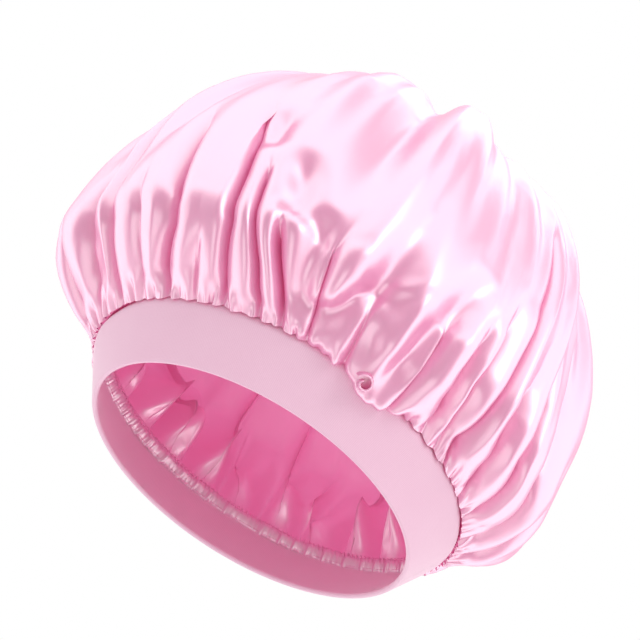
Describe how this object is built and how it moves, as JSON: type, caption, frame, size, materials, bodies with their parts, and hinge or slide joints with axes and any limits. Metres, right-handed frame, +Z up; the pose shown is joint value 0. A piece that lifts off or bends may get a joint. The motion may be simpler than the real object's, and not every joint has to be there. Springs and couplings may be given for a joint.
{
  "type": "hair bonnet",
  "caption": "Puffed satin sleep bonnet, gathered all round into a wide folded elastic band that flares out towards the crown.",
  "frame": {"origin": "centre of the head opening, on the plane of the band's folded rim, which the bonnet stands on", "axes": "+Z up the band's axis into the crown, -Y towards the wearer's face, +Y towards the nape, where the band and the elastic are joined"},
  "size_m": [0.2998, 0.3001, 0.239],
  "materials": {
    "satin": "glossy polyester satin, slightly see-through",
    "knit": "matte fine jersey knit",
    "elastic": "woven flat elastic",
    "thread": "spun polyester sewing thread"
  },
  "bodies": {
    "root": {"crown_cloth": "satin", "band_cover": "knit", "band_elastic": "elastic", "crown_seam_thread": "thread", "gathering_thread": "thread", "overlock_thread": "thread", "band_join_thread": "thread", "elastic_join_thread": "thread"}
  },
  "joints": []
}
